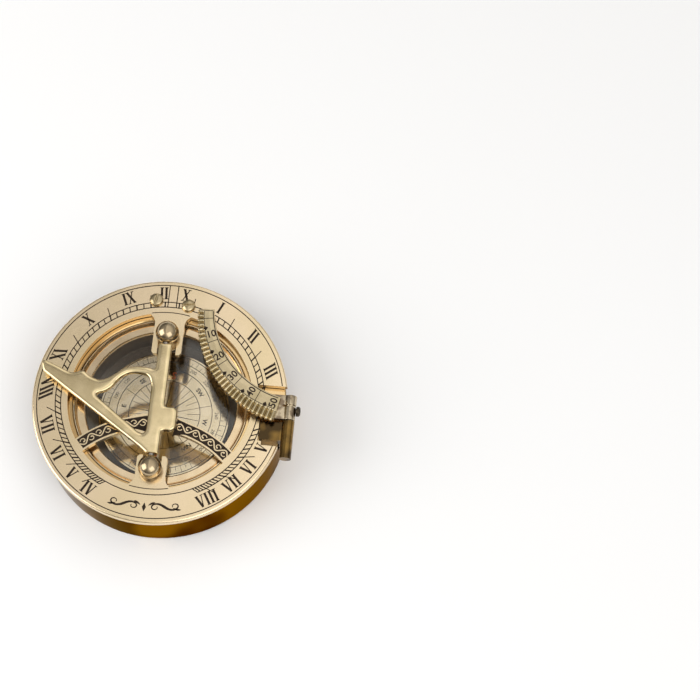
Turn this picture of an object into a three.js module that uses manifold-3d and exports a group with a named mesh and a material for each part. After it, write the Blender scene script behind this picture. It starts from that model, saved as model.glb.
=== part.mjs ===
// Pocket sundial: a brass compass case that carries a hinged hour plate, a folding
// gnomon and a folding latitude arc. Millimetres, +Z up, +Y north, +X east.
// The origin is the centre of the case's flat underside. Everything is drawn folded
// flat, which is the rest position.
import * as THREE from 'three';
import { mergeVertices } from 'three/addons/utils/BufferGeometryUtils.js';
import Module from 'manifold-3d';

const wasm = await Module();
wasm.setup();

// ---- case, glass and bezel ----
const CASE_R = 37.6;
const CASE_TOP = 17.6;
const FLOOR_T = 1.6;
const BORE_R = 24.5;            // chamber of the compass card
const SEAT_R = 26.2;            // counterbore that takes glass and bezel
const SEAT_Z = 13.0;
const GLASS_R = 26.0;
const GLASS_TOP = 14.6;
const BEZEL_R = 26.1;
const BEZEL_LIP_R = 22.8;
const BEZEL_LIP_Z = 15.8;
const EDGE = 0.8;               // chamfer of the case's lower edge

// ---- compass card ----
const CARD_R = 20.0;
const CARD_Z = 5.0;             // underside of the card
const CARD_T = 0.8;
const CAP_R = 1.6;
const POST_TIP = 5.6;           // height of the pivot's point
const MAGNET = { x: 5.0, w: 2.6, l: 24.0, t: 1.3 };

// ---- hour plate ----
const PLATE_T = 2.0;
const PLATE_TOP = 20.0;
const RING_R = 38.1;            // a plate 3 inches across
const RING_IN_R = 27.5;
const TONGUE_HALF = 4.5;        // the two forked tongues that carry the ball posts
const TONGUE_TIP_N = 14.3;
const TONGUE_TIP_S = -17.5;
const SLOT_HALF = 2.8;
const ARM = { y: -39.6, r0: 30.0, r1: 34.3, west: -2.9, east: 5.9 };
const NOTCH = { y0: -11.5, y1: 7.2, x: 31.3, xMid: 30.2, xDeep: 28.9 };

// ---- hinge between case and hour plate, under the north rim ----
const HINGE = { y: 35.8, z: 16.5, r: 1.3, half: 7.0, knuckle: 3.4, gap: 0.3 };
const LEAF_Y0 = 28.8;
const LEAF_Y1 = 34.1;
const LEAF_SCREW = { x: 4.6, y: 31.6 };
const PLATE_SCREWS = { east: [5.0, 30.3, 8], west: [-4.9, 31.4, 80] };   // x, y, slot angle
const SCREW_R = 0.92;

// ---- gnomon ----
const GNOMON_Z = 23.0;          // height of its pivots
const GNOMON_T = 2.4;
const BAR_HALF = 2.0;
const BALL_R = 3.5;
const BALL_N = 20.2;
const BALL_S = -21.9;
const PIVOT_R = 0.8;

// ---- latitude arc and its hinge ----
const ARC = { z: 23.0, t: 1.6 };
const ARC_CONVEX = { x: 42.5, y: 27.7, r: 34.0, tip: 179.2, root: 256.2 };    // angles in degrees
const ARC_CONCAVE = { x: 42.6, y: 30.9, r: 29.3, tip: 185.3, root: 257.0 };
const BARREL = { x: 38.9, z: 21.9, r: 1.8 };
const BARREL_S = -15.8;
const BARREL_SPLIT = -4.05;
const BARREL_N = 3.6;
const BRACKET = { y0: -10.0, y1: -4.4, foot: 10.0 };
const BRACKET_SCREWS = { south: -8.65, north: -5.75 };
const PEG_Y = -0.9;             // stop peg on the arc's knuckle
const GROOVE = { y0: 0.05, y1: 0.65 };  // turned round the knuckle, north of the peg
const BRACKET_SCREW_Z = 12.6;

// ---- fineness of round work ----
const ROUND_LARGE = 96;
const ROUND_SMALL = 20;

// ---------- solids from three.js geometries ----------
function toSolid(geometry) {
  const g = geometry.index ? geometry.clone() : geometry;
  for (const name of ['normal', 'uv']) g.deleteAttribute(name);
  const merged = mergeVertices(g, 1e-4);
  const p = merged.attributes.position.array;
  const index = Array.from(merged.index.array);
  const faces = [];
  let volume = 0;
  for (let i = 0; i < index.length; i += 3) {
    const [a, b, c] = [index[i], index[i + 1], index[i + 2]];
    if (a === b || b === c || c === a) continue;
    faces.push([a, b, c]);
    const [A, B, C] = [a, b, c].map((k) => new THREE.Vector3().fromArray(p, 3 * k));
    volume += A.dot(B.cross(C));
  }
  const triangles = faces.map((f) => (volume < 0 ? f.reverse() : f)).flat();
  return new wasm.Manifold(new wasm.Mesh({
    numProp: 3,
    vertProperties: new Float32Array(p),
    triVerts: new Uint32Array(triangles),
  }));
}

function toGeometry(solid) {
  const mesh = solid.getMesh();
  const geometry = new THREE.BufferGeometry();
  const positions = Float32Array.from(mesh.vertProperties);
  geometry.setAttribute('position', new THREE.BufferAttribute(positions, 3));
  geometry.setIndex(Array.from(mesh.triVerts));
  geometry.computeVertexNormals();
  return geometry;
}

const block = (x0, x1, y0, y1, z0, z1) => toSolid(
  new THREE.BoxGeometry(x1 - x0, y1 - y0, z1 - z0)
    .translate((x0 + x1) / 2, (y0 + y1) / 2, (z0 + z1) / 2),
);

// a cylinder along x, y or z, from `from` to `to` on that axis
function rod(axis, r, from, to, at = [0, 0], segments = ROUND_SMALL) {
  const g = new THREE.CylinderGeometry(r, r, to - from, segments).translate(0, (from + to) / 2, 0);
  if (axis === 'x') g.rotateZ(-Math.PI / 2).translate(0, at[0], at[1]);
  if (axis === 'y') g.translate(at[0], 0, at[1]);
  if (axis === 'z') g.rotateX(Math.PI / 2).translate(at[0], at[1], 0);
  return toSolid(g);
}

// a turned piece about Z; the profile is a list of [radius, height]
function turned(profile, segments = ROUND_LARGE) {
  const points = profile.map(([r, z]) => new THREE.Vector2(r, z));
  if (profile[0][0] > 0 || profile.at(-1)[0] > 0) points.push(points[0].clone());
  return toSolid(new THREE.LatheGeometry(points, segments).rotateX(Math.PI / 2));
}

function slab(shape, z0, z1, curveSegments = 12) {
  const options = { depth: z1 - z0, bevelEnabled: false, curveSegments };
  return toSolid(new THREE.ExtrudeGeometry(shape, options).translate(0, 0, z0));
}

const outline = (points) => new THREE.Shape(points.map(([x, y]) => new THREE.Vector2(x, y)));

function annulus(x, y, r0, r1) {
  const shape = new THREE.Shape().absarc(x, y, r1, 0, 2 * Math.PI, false);
  shape.holes.push(new THREE.Path().absarc(x, y, r0, 0, 2 * Math.PI, true));
  return shape;
}

// ---------- materials ----------
const metal = (color, roughness) => new THREE.MeshStandardMaterial({ color, roughness, metalness: 1 });
const caseBrass = () => metal(0xb8873c, 0.25);
const plateBrass = () => metal(0xe0c08a, 0.3);
const gnomonBrass = () => metal(0xd2b878, 0.25);
const arcBrass = () => metal(0xcdb482, 0.35);
const steel = () => metal(0x8c8c90, 0.35);
const glass = () => new THREE.MeshStandardMaterial({
  color: 0xe8f0f0, roughness: 0.05, transparent: true, opacity: 0.25,
});

// ---------- groups: one for each body that moves on its own ----------
const sundial = new THREE.Group();
function bodyGroup(parent, x, y, z) {
  const group = new THREE.Group();
  group.position.set(x, y, z);
  parent.add(group);
  return group;
}
const base = bodyGroup(sundial, 0, 0, 0);
const card = bodyGroup(sundial, 0, 0, CARD_Z);
const plate = bodyGroup(sundial, 0, 0, PLATE_TOP);
const gnomon = bodyGroup(plate, 0, 0, GNOMON_Z - PLATE_TOP);
const arc = bodyGroup(sundial, BARREL.x, 0, BARREL.z);

function add(group, name, solid, material) {
  const mesh = new THREE.Mesh(toGeometry(solid), material);
  mesh.name = name;
  group.add(mesh);
  return mesh;
}

// ---------- case ----------
function caseBody() {
  const cup = turned([
    [0, 0], [CASE_R - EDGE, 0], [CASE_R, EDGE], [CASE_R, CASE_TOP - 0.4], [CASE_R - 0.4, CASE_TOP],
    [SEAT_R + 0.3, CASE_TOP], [SEAT_R, CASE_TOP - 0.3], [SEAT_R, SEAT_Z], [BORE_R, SEAT_Z],
    [BORE_R, FLOOR_T], [0, FLOOR_T],
  ]);
  const wide = HINGE.half + HINGE.gap;
  const leafPocket = block(-wide, wide, LEAF_Y0 - HINGE.gap, 40, 15.3, 20);
  const knucklePocket = block(-wide, wide, HINGE.y - HINGE.r - 0.5, 40, 14.7, 20);
  const bracketFlat = block(36.4, 40, BRACKET.y0 - 0.3, BRACKET.y1 + 0.3, BRACKET.foot - 0.4, 20);
  let solid = cup.subtract(leafPocket).subtract(knucklePocket).subtract(bracketFlat)
    .subtract(rod('z', 1.32, 0.6, 3));
  for (const s of [-1, 1]) solid = solid.subtract(rod('z', 0.82, 12, 16, [s * LEAF_SCREW.x, LEAF_SCREW.y]));
  for (const y of Object.values(BRACKET_SCREWS))
    solid = solid.subtract(rod('x', 0.82, 31.5, 38, [y, BRACKET_SCREW_Z]));
  return solid;
}
add(base, 'case_body', caseBody(), caseBrass());
add(base, 'glass_window', turned([
  [0, SEAT_Z + 0.02], [GLASS_R, SEAT_Z + 0.02], [GLASS_R, GLASS_TOP], [0, GLASS_TOP],
], 64), glass());
add(base, 'bezel_ring', turned([
  [BEZEL_LIP_R, GLASS_TOP + 0.05], [BEZEL_R, GLASS_TOP + 0.05], [BEZEL_R, 17.0], [25.9, 17.0],
  [25.2, 16.0], [25.2, 15.5], [24.9, 15.5], [24.9, BEZEL_LIP_Z], [BEZEL_LIP_R + 0.3, BEZEL_LIP_Z],
  [BEZEL_LIP_R, BEZEL_LIP_Z - 0.3],
], 72), caseBrass());
add(base, 'pivot_post', turned([
  [0, 0.7], [1.3, 0.7], [1.3, 1.62], [1.9, 1.62], [1.9, 2.1], [0.9, 2.5], [0.5, 4.2],
  [0.12, POST_TIP], [0, POST_TIP],
], ROUND_SMALL), steel());

// ---------- compass card ----------
const CARD_HOLE = CAP_R + 0.02;
add(card, 'compass_card', turned([
  [CARD_HOLE, 0], [CARD_R, 0], [CARD_R, CARD_T], [CARD_HOLE, CARD_T],
], 64), plateBrass());
add(card, 'card_cap', turned([
  [0, 0.65], [0.14, 0.65], [1.1, -0.6], [2.2, -0.6], [2.2, -0.02], [CAP_R, -0.02], [CAP_R, 1.0],
  [1.2, 1.5], [0.5, 1.8], [0, 1.85],
], ROUND_SMALL), plateBrass());
for (const [name, side] of [['magnet_bar_west', -1], ['magnet_bar_east', 1]]) {
  const bar = block(-MAGNET.w / 2, MAGNET.w / 2, -MAGNET.l / 2, MAGNET.l / 2, -MAGNET.t, 0);
  add(card, name, bar, steel()).position.set(side * MAGNET.x, 0, -0.02);
}

// ---------- plate hinge: a butt hinge with countersunk and round-head screws ----------
const hingeBarrel = (x0, x1) => rod('x', HINGE.r, x0, x1, [HINGE.y, HINGE.z]);
const hingeBore = (r) => rod('x', r, -10, 10, [HINGE.y, HINGE.z]);
function fixedLeaf() {
  let solid = block(-HINGE.half, HINGE.half, LEAF_Y0, HINGE.y - HINGE.r - 0.35, 15.4, 16.6);
  for (const s of [-1, 1]) {
    const [x0, x1] = [HINGE.knuckle + HINGE.gap, HINGE.half].map((x) => s * x).sort((a, b) => a - b);
    solid = solid.add(block(x0, x1, LEAF_Y1 - 1, HINGE.y, 15.4, 16.4)).add(hingeBarrel(x0, x1));
  }
  solid = solid.subtract(hingeBore(0.65));
  for (const s of [-1, 1]) {
    const sink = turned([
      [0, 15.0], [0.95, 15.0], [0.95, 15.6], [1.75, 16.4], [1.75, 17], [0, 17],
    ], ROUND_SMALL);
    solid = solid.subtract(sink.translate([s * LEAF_SCREW.x, LEAF_SCREW.y, 0]));
  }
  return solid;
}
function countersunkScrew(slotAngle) {
  const body = turned([
    [0, 12.3], [0.78, 12.3], [0.78, 15.62], [0.88, 15.66], [1.66, 16.42], [1.66, 16.56], [0, 16.56],
  ], ROUND_SMALL);
  return body.subtract(block(-2.5, 2.5, -0.22, 0.22, 16.1, 17)).rotate([0, 0, slotAngle]);
}
add(base, 'rim_hinge_leaf', fixedLeaf(), caseBrass());
for (const [name, side, angle] of [['rim_hinge_screw_west', -1, 0], ['rim_hinge_screw_east', 1, 60]])
  add(base, name, countersunkScrew(angle), steel()).position.set(side * LEAF_SCREW.x, LEAF_SCREW.y, 0);
add(base, 'plate_hinge_pin', rod('x', 0.62, -HINGE.half, HINGE.half, [HINGE.y, HINGE.z]), steel());

function movingLeaf() {
  const under = PLATE_TOP - PLATE_T - 0.02;
  let solid = block(-HINGE.half, HINGE.half, LEAF_Y0, LEAF_Y1, 17.0, under)
    .add(block(-HINGE.knuckle, HINGE.knuckle, LEAF_Y1 - 1, HINGE.y, 17.0, 17.8))
    .add(hingeBarrel(-HINGE.knuckle, HINGE.knuckle))
    .subtract(hingeBore(0.75));
  for (const [x, y] of Object.values(PLATE_SCREWS))
    solid = solid.subtract(rod('z', SCREW_R + 0.05, 16, 19, [x, y]));
  return solid.translate([0, 0, -PLATE_TOP]);
}
add(plate, 'plate_hinge_leaf', movingLeaf(), plateBrass());

// a slotted round-head screw that stands on z = 0 with its shank below
function roundHeadScrew(headR, headH, shankR, shankL, slotAngle) {
  const head = turned([
    [0, -shankL], [shankR, -shankL], [shankR, 0], [headR, 0], [headR, headH * 0.35],
    [headR * 0.86, headH * 0.72], [headR * 0.55, headH * 0.94], [0, headH],
  ], ROUND_SMALL);
  const slot = block(-headR * 1.2, headR * 1.2, -headR * 0.14, headR * 0.14, headH * 0.5, headH * 2);
  return head.subtract(slot).rotate([0, 0, slotAngle]);
}
for (const [side, [x, y, angle]] of Object.entries(PLATE_SCREWS)) {
  const screw = roundHeadScrew(2.1, 1.4, SCREW_R, 2.95, angle);
  add(plate, `plate_screw_${side}`, screw, plateBrass()).position.set(x, y, 0.02);
}

// ---------- hour plate: ring, forked tongues and curved arms in one piece ----------
function tongue(tipY, rootY) {
  const s = Math.sign(rootY);
  const half = TONGUE_HALF;
  return outline([
    [-half, tipY + s * 0.7], [-half + 0.7, tipY], [half - 0.7, tipY], [half, tipY + s * 0.7],
    [half, rootY - s * 2.4],
    [half + 0.5, rootY - s * 1.2], [half + 1.7, rootY], [half + 1.7, rootY + s * 0.9],
    [-half - 1.7, rootY + s * 0.9], [-half - 1.7, rootY], [-half - 0.5, rootY - s * 1.2],
    [-half, rootY - s * 2.4],
  ]);
}
function slotShape(x, y0, y1, roundEndY) {
  const shape = new THREE.Shape();
  const s = Math.sign(roundEndY);
  shape.moveTo(-x, s > 0 ? y0 : y1).lineTo(x, s > 0 ? y0 : y1).lineTo(x, roundEndY);
  shape.absarc(0, roundEndY, x, 0, s * Math.PI, s < 0);
  return shape;
}
function curvedArms(z0, z1) {
  let arms = slab(annulus(0, ARM.y, ARM.r0, ARM.r1), z0, z1, 60)
    .intersect(block(-27, 27, -20, 0, z0, z1))
    .intersect(rod('z', 28.2, z0, z1, [0, 0], 64));
  for (const s of [-1, 1])
    arms = arms.add(slab(outline([
      [s * 2.5, -11.4], [s * 4.3, -11.0], [s * 8.2, -9.6], [s * 8.2, -6.2], [s * 4.6, -4.9], [s * 2.5, -4.7],
    ]), z0, z1));
  return arms.subtract(block(ARM.west, ARM.east, -13, -3, z0 - 1, z1 + 1));
}
function chapterRing() {
  const [z0, z1] = [-PLATE_T, 0];
  let solid = slab(annulus(0, 0, RING_IN_R, RING_R), z0, z1, ROUND_LARGE / 2)
    .add(slab(tongue(TONGUE_TIP_N, 26.9), z0, z1))
    .add(slab(tongue(TONGUE_TIP_S, -26.9), z0, z1))
    .add(curvedArms(z0, z1));
  const cuts = [
    slab(slotShape(SLOT_HALF, 13, 0, 21.0), z0 - 1, z1 + 1),
    slab(slotShape(SLOT_HALF, 0, -16, -22.7), z0 - 1, z1 + 1),
    block(NOTCH.x, 40, NOTCH.y0, NOTCH.y1, z0 - 1, z1 + 1),
    block(NOTCH.xMid, 40, -10.2, NOTCH.y1, z0 - 1, z1 + 1),
    block(NOTCH.xDeep, 40, -3.6, NOTCH.y1, z0 - 1, z1 + 1),
    ...Object.values(PLATE_SCREWS).map(([x, y]) => rod('z', SCREW_R + 0.08, z0 - 1, z1 + 1, [x, y])),
  ];
  for (const cut of cuts) solid = solid.subtract(cut);
  return solid;
}
add(plate, 'chapter_ring', chapterRing(), plateBrass());

// ball posts: a ball on a stem that passes through the tongue's slot to a foot below it
function ballPost(toBar) {
  const stemR = 2.55;
  const underTongue = PLATE_TOP - PLATE_T - GNOMON_Z - 0.03;
  const profile = [
    [0, underTongue - 0.82], [3.8, underTongue - 0.82], [3.9, underTongue - 0.72], [3.9, underTongue],
    [stemR, underTongue],
  ];
  const a0 = -Math.acos(stemR / BALL_R);
  const rings = 12;
  for (let i = 0; i < rings; i++) {
    const a = a0 + (Math.PI / 2 - a0) * i / rings;
    profile.push([BALL_R * Math.cos(a), BALL_R * Math.sin(a)]);
  }
  profile.push([0, BALL_R]);
  const [from, to] = [0, toBar * 5].sort((a, b) => a - b);
  return turned(profile, 32).subtract(rod('y', PIVOT_R + 0.15, from, to));
}
add(plate, 'north_ball_post', ballPost(-1), gnomonBrass()).position.set(0, BALL_N, GNOMON_Z - PLATE_TOP);
add(plate, 'south_ball_post', ballPost(1), gnomonBrass()).position.set(0, BALL_S, GNOMON_Z - PLATE_TOP);

// ---------- gnomon ----------
function gnomonFrame() {
  const north = BALL_N - BALL_R - 0.3;
  const south = BALL_S + BALL_R + 0.3;
  const brace = [
    [-BAR_HALF, 8.0], [-6.2, 8.6], [-10.9, 7.8], [-13.4, 5.9], [-16, 4.0], [-18.3, 3.3], [-20.9, 4.2],
    [-23.4, 5.8], [-26.5, 4.8], [-30.8, 6.5], [-35.2, 8.2],
  ].map(([x, y]) => new THREE.Vector2(x, y));
  const shape = new THREE.Shape();
  shape.moveTo(BAR_HALF, south).lineTo(BAR_HALF, north).lineTo(-BAR_HALF, north).lineTo(-BAR_HALF, 8.0);
  shape.splineThru(brace.slice(1));
  shape.lineTo(-36.2, 7.7).lineTo(-35.2, 4.6).lineTo(-3.8, -16.2).lineTo(-1.5, south);
  const window = new THREE.Path();
  window.moveTo(-18.6, -1.6).lineTo(-4.4, -12.0).lineTo(-3.3, -12.3).lineTo(-2.5, -11.2).lineTo(-2.6, 2.5);
  window.splineThru([
    [-3.7, 5.5], [-5.8, 6.2], [-8.3, 6.3], [-10.6, 5.6], [-12.6, 3.8], [-14, 1.6],
    [-16.2, -0.2], [-18.4, -0.9],
  ].map(([x, y]) => new THREE.Vector2(x, y)));
  shape.holes.push(window);
  const z = GNOMON_T / 2;
  const boss = outline([[1, -10.7], [4.9, -10.7], [6.1, -9.6], [6.1, -4.4], [5.2, -3.4], [1, -3.4]]);
  return slab(shape, -z, z, 3).add(slab(boss, -z, z))
    .subtract(rod('y', PIVOT_R + 0.02, 12, 20)).subtract(rod('y', PIVOT_R + 0.02, -21, -14));
}
add(gnomon, 'gnomon_frame', gnomonFrame(), gnomonBrass());
add(gnomon, 'gnomon_pivot_north', rod('y', PIVOT_R, 12.05, BALL_N - 1.2), steel());
add(gnomon, 'gnomon_pivot_south', rod('y', PIVOT_R, BALL_S + 1.2, -14.05), steel());

// ---------- latitude arc ----------
function latitudeArc() {
  const rad = THREE.MathUtils.degToRad;
  const [outer, inner] = [ARC_CONVEX, ARC_CONCAVE];
  const shape = new THREE.Shape();
  shape.absarc(outer.x - BARREL.x, outer.y, outer.r, rad(outer.tip), rad(outer.root), false);
  shape.absarc(inner.x - BARREL.x, inner.y, inner.r, rad(inner.root), rad(inner.tip), true);
  const z = ARC.z - BARREL.z;
  return slab(shape, z, z + ARC.t, 32);
}
function arcKnuckle() {
  const top = ARC.z - BARREL.z - 0.02;
  const groove = rod('y', BARREL.r + 0.6, GROOVE.y0, GROOVE.y1)
    .subtract(rod('y', BARREL.r - 0.4, GROOVE.y0, GROOVE.y1));
  return rod('y', BARREL.r, BARREL_SPLIT + 0.15, BARREL_N)
    .add(block(-5.7, 0, BARREL_SPLIT + 0.15, BARREL_N, top - 1.2, top))
    .subtract(groove)
    .subtract(rod('y', 0.95, -5, 5)).subtract(rod('x', 0.72, 1.0, 3, [PEG_Y, 0]));
}
function stopPeg() {
  const profile = [
    [0, 0], [0.7, 0], [0.7, 0.85], [1.35, 0.85], [1.5, 1.0], [1.5, 1.7], [1.1, 2.1], [0, 2.25],
  ];
  return turned(profile, ROUND_SMALL).rotate([0, 90, 0]).translate([1.05, PEG_Y, 0]);
}
add(arc, 'latitude_arc', latitudeArc(), arcBrass());
add(arc, 'arc_knuckle', arcKnuckle(), arcBrass());
add(arc, 'arc_stop_peg', stopPeg(), arcBrass());

// ---------- bracket that carries the arc on the case's east side ----------
function arcBracket() {
  let solid = rod('y', BARREL.r, BARREL_S, BARREL_SPLIT - 0.15, [BARREL.x, BARREL.z])
    .add(block(30.6, 37.6, BRACKET.y0, BRACKET.y1, CASE_TOP + 0.02, 20.9))
    .add(block(36.6, 38.3, BRACKET.y0, BRACKET.y1, BRACKET.foot, 21.5))
    .subtract(rod('y', 0.83, -15, 1, [BARREL.x, BARREL.z]));
  for (const y of Object.values(BRACKET_SCREWS))
    solid = solid.subtract(rod('x', 0.9, 36, 40, [y, BRACKET_SCREW_Z]));
  return solid;
}
add(base, 'arc_bracket', arcBracket(), caseBrass());
for (const [side, y] of Object.entries(BRACKET_SCREWS)) {
  const screw = roundHeadScrew(1.35, 1.0, 0.78, 5.6, side === 'north' ? 50 : 0).rotate([0, 90, 0]);
  add(base, `bracket_screw_${side}`, screw, steel()).position.set(38.32, y, BRACKET_SCREW_Z);
}
add(base, 'arc_hinge_pin', rod('y', 0.8, -14.9, BARREL_N, [BARREL.x, BARREL.z]), steel());

export default sundial;
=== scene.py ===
"""Looks of the pocket sundial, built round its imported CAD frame.

Sizes are written in millimetres and turned into metres by MM. +Z is up, +Y north, +X east.
"""

import math

import bmesh
import bpy
from mathutils import Matrix, Vector


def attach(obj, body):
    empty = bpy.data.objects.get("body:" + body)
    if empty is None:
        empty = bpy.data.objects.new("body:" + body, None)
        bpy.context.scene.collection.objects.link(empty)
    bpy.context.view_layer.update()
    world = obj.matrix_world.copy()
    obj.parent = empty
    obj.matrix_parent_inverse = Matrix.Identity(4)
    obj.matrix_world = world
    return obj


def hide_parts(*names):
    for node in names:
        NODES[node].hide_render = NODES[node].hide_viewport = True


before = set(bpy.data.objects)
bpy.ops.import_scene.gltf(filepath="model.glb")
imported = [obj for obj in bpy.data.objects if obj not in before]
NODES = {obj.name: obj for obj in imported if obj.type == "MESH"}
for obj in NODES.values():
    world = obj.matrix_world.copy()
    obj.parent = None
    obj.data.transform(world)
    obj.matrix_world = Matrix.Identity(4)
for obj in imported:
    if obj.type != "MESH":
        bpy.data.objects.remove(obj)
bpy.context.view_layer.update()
MM = 0.001
TAU = 2 * math.pi

# ---- the hour plate ----
PLATE_TOP = 20.0
RING_OUT = 38.1
RING_IN = 27.5
PLATE_T = 2.0
RIM_LINE = 36.6          # engraved circle near the rim
TRACK_OUT = 31.1         # the ladder of ten-minute cells
TRACK_IN = 29.5
NUMERAL_R = 34.0
NUMERAL_H = 3.8
# text, bearing in degrees from east, lean of its strokes
NUMERALS = (
    ("I", 64.3, 0), ("II", 41.1, -0.3), ("III", 20.2, -0.3), ("V", -21.6, 0), ("VI", -33.4, 0),
    ("VII", -45.0, 0), ("VIII", -59.0, 0), ("X", 83.5, 0), ("II", 94.9, 0), ("XI", 113.2, 0),
    ("X", 136.6, 0), ("IX", 160.5, -0.4), ("VIII", 178.9, -0.6), ("VII", 198.6, -0.15),
    ("VI", 214.6, 0), ("V", 227.5, 0), ("IV", 239.0, 0),
)
FOOT_Y = -19.2           # point from which the hour lines spread
HOUR = math.radians(15)
NOON_GAP = 1.3           # from the noon line to each line of the pair beside it
HALF_HOUR_TICK = 2.5
LINE = 0.30              # engraved line width
SUNK = 0.12              # how far a filled mark reaches below its surface
PROUD = 0.02             # and above it
NOTCH = {"y0": -11.5, "y1": 7.2, "x": 31.3}
ARM = {"y": -39.6, "r0": 30.0, "r1": 34.3}
# bearings in degrees of each arm's ornament about the arm's own centre, from its wide end
ARM_SPANS = ((94.8, 132.6), (80.0, 47.4))
FLOURISH = {"bearing": 269, "r": 33.3}

# ---- the latitude arc ----
ARC = {"z": 23.0, "t": 1.6}
ARC_CONVEX = {"x": 42.5, "y": 27.7, "r": 34.0, "tip": 179.2, "root": 256.2}
ARC_CONCAVE = {"x": 42.6, "y": 30.9, "r": 29.3, "tip": 185.3, "root": 257.0}
TEETH = 30
TOOTH_DEPTH = 0.75
INNER_BORDER = 0.93      # share of the arc's width at which its inner border line runs
CAST_GRAIN = 0.2         # voxel size in which the gnomon is made again as a casting

# ---- balls and card ----
BALL_R = 3.5
BALL_Z = 23.0
BALLS = {"north": 20.2, "south": -21.9}
CARD_TOP = 5.8
CARD_SUNK = 0.08
CARD_PROUD = 0.015
CARD_TURN = math.radians(-7)     # how far the compass card rests from true
# radii of the printed rings
ROSE = {"hub": 2.4, "rays": 10.9, "letters": 14.6, "numbers": 17.2, "edge": 19.3}
LINER = {"hub": 2.1, "wall": 24.46, "floor": 1.62, "brim": 12.9}
INNER_R = 30.5           # within this the case takes its lit tones, painted light for the bright step below the plate
LEDGE_Z = 17.4           # and above this too, painted light for its bright upper face

# ---- camera ----
LENS = 90
SENSOR = 36
EYE = (65.8, -161.9, 514.2)
TARGET = (55.0, 20.6, 20.0)
ROLL = math.radians(1.64)
FLOOR_R = 5              # metres
FLOOR_Z = -0.05


# ---------------------------------------------------------------- materials
def new_material(name):
    mat = bpy.data.materials.new(name)
    mat.use_nodes = True
    tree = mat.node_tree
    tree.nodes.clear()
    out = tree.nodes.new("ShaderNodeOutputMaterial")
    return mat, tree, out


def object_coords(tree, stretch=(1, 1, 1)):
    coords = tree.nodes.new("ShaderNodeTexCoord")
    mapping = tree.nodes.new("ShaderNodeMapping")
    mapping.inputs["Scale"].default_value = [s / MM for s in stretch]
    tree.links.new(coords.outputs["Object"], mapping.inputs["Vector"])
    return mapping.outputs["Vector"]


def noise(tree, vector, scale, detail=4, rough=0.55):
    node = tree.nodes.new("ShaderNodeTexNoise")
    node.inputs["Scale"].default_value = scale
    node.inputs["Detail"].default_value = detail
    node.inputs["Roughness"].default_value = rough
    tree.links.new(vector, node.inputs["Vector"])
    return node.outputs["Fac"]


def ramp(tree, value, stops):
    node = tree.nodes.new("ShaderNodeValToRGB")
    element = node.color_ramp.elements
    while len(element) < len(stops):
        element.new(0.5)
    for e, (at, color) in zip(element, stops):
        e.position = at
        e.color = (*color, 1)
    tree.links.new(value, node.inputs["Fac"])
    return node.outputs["Color"]


def lit_inside_shaded_outside(tree, where, shaded_tone, lit_tone):
    """Painted light: the lit tone within INNER_R of the dial's axis or above LEDGE_Z, the shaded tone
    elsewhere.
    """
    flat = tree.nodes.new("ShaderNodeVectorMath")
    flat.operation = "MULTIPLY"
    flat.inputs[1].default_value = (1, 1, 0)
    size = tree.nodes.new("ShaderNodeVectorMath")
    size.operation = "LENGTH"
    step = tree.nodes.new("ShaderNodeMapRange")
    step.inputs["From Min"].default_value = INNER_R
    step.inputs["From Max"].default_value = INNER_R + 1
    height = tree.nodes.new("ShaderNodeSeparateXYZ")
    under = tree.nodes.new("ShaderNodeMapRange")
    under.inputs["From Min"].default_value = LEDGE_Z
    under.inputs["From Max"].default_value = LEDGE_Z - 0.2
    both = tree.nodes.new("ShaderNodeMath")
    both.operation = "MULTIPLY"
    mix = tree.nodes.new("ShaderNodeMix")
    mix.data_type = "RGBA"
    tree.links.new(where, flat.inputs[0])
    tree.links.new(where, height.inputs["Vector"])
    tree.links.new(flat.outputs["Vector"], size.inputs[0])
    tree.links.new(size.outputs["Value"], step.inputs["Value"])
    tree.links.new(height.outputs["Z"], under.inputs["Value"])
    tree.links.new(step.outputs["Result"], both.inputs[0])
    tree.links.new(under.outputs["Result"], both.inputs[1])
    tree.links.new(both.outputs["Value"], mix.inputs["Factor"])
    tree.links.new(lit_tone, mix.inputs["A"])
    tree.links.new(shaded_tone, mix.inputs["B"])
    return mix.outputs["Result"]


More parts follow.
